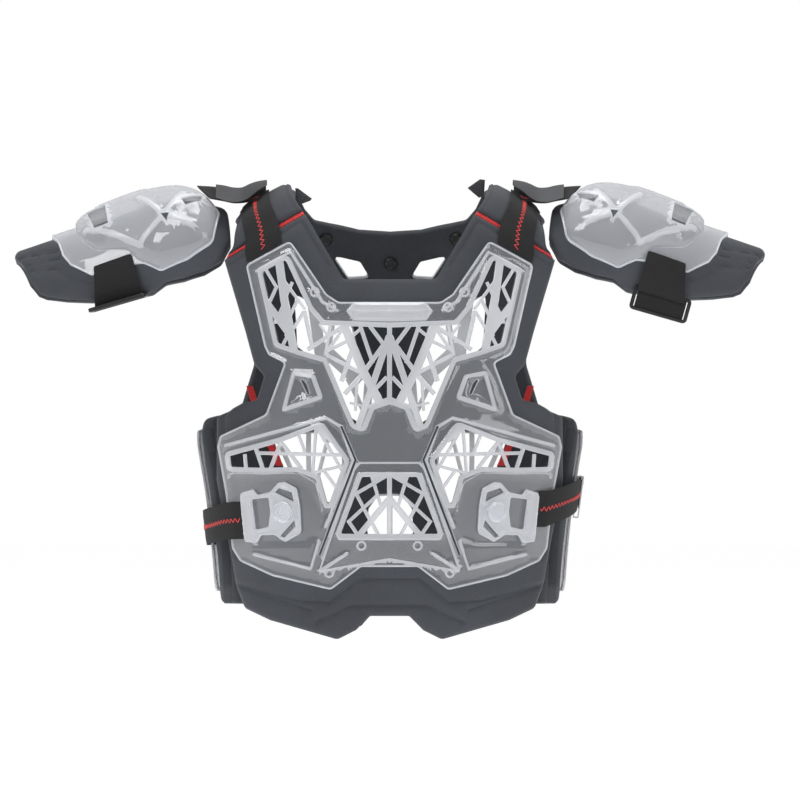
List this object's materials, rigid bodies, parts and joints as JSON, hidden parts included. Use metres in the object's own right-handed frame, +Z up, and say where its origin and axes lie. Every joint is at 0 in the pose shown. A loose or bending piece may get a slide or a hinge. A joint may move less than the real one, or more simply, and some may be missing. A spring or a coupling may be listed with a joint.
{
  "type": "chest protector",
  "caption": "Body guard with clear lattice front and back plates on foam pads, shoulder bridges, waist straps with buckles and domed upper-arm guards.",
  "frame": {"origin": "between the shoulders on the middle plane, where the body holds the guard up", "axes": "+Z up along the wearer's body, front plate towards -Y, X across from arm guard to arm guard"},
  "size_m": [0.7832, 0.2779, 0.4811],
  "materials": {
    "foam": "matte",
    "clear_plastic": "gloss",
    "black_webbing": "matte",
    "red_tape": "matte",
    "grey_flap": "satin",
    "black_plastic": "gloss"
  },
  "bodies": {
    "root": {"front_pad": "foam", "front_shell": "clear_plastic", "back_pad": "foam", "back_shell": "clear_plastic", "neck_stud_left": "black_plastic", "neck_stud_centre": "black_plastic", "neck_stud_right": "black_plastic", "side_tape_left": "red_tape", "side_tape_right": "red_tape", "shoulder_tape_left": "red_tape", "shoulder_tape_right": "red_tape", "shoulder_bridge_left": "foam", "shoulder_bridge_right": "foam", "shoulder_strap_left": "black_webbing", "shoulder_strap_right": "black_webbing", "link_strap_left": "black_webbing", "link_strap_right": "black_webbing", "link_flap_left": "grey_flap", "link_flap_right": "grey_flap", "collar_tab_left": "grey_flap", "collar_tab_right": "grey_flap", "waist_strap_left": "black_webbing", "waist_strap_right": "black_webbing", "strap_end_right": "black_webbing", "strap_slider_right": "clear_plastic", "waist_buckle_left": "clear_plastic", "waist_buckle_right": "clear_plastic", "buckle_knob_left": "clear_plastic", "buckle_knob_right": "clear_plastic", "arm_pad_left": "foam", "arm_pad_right": "foam", "arm_shell_left": "clear_plastic", "arm_shell_right": "clear_plastic", "arm_strap_left": "black_webbing", "arm_strap_right": "black_webbing", "arm_buckle_left": "black_plastic", "arm_buckle_right": "black_plastic"}
  },
  "joints": []
}
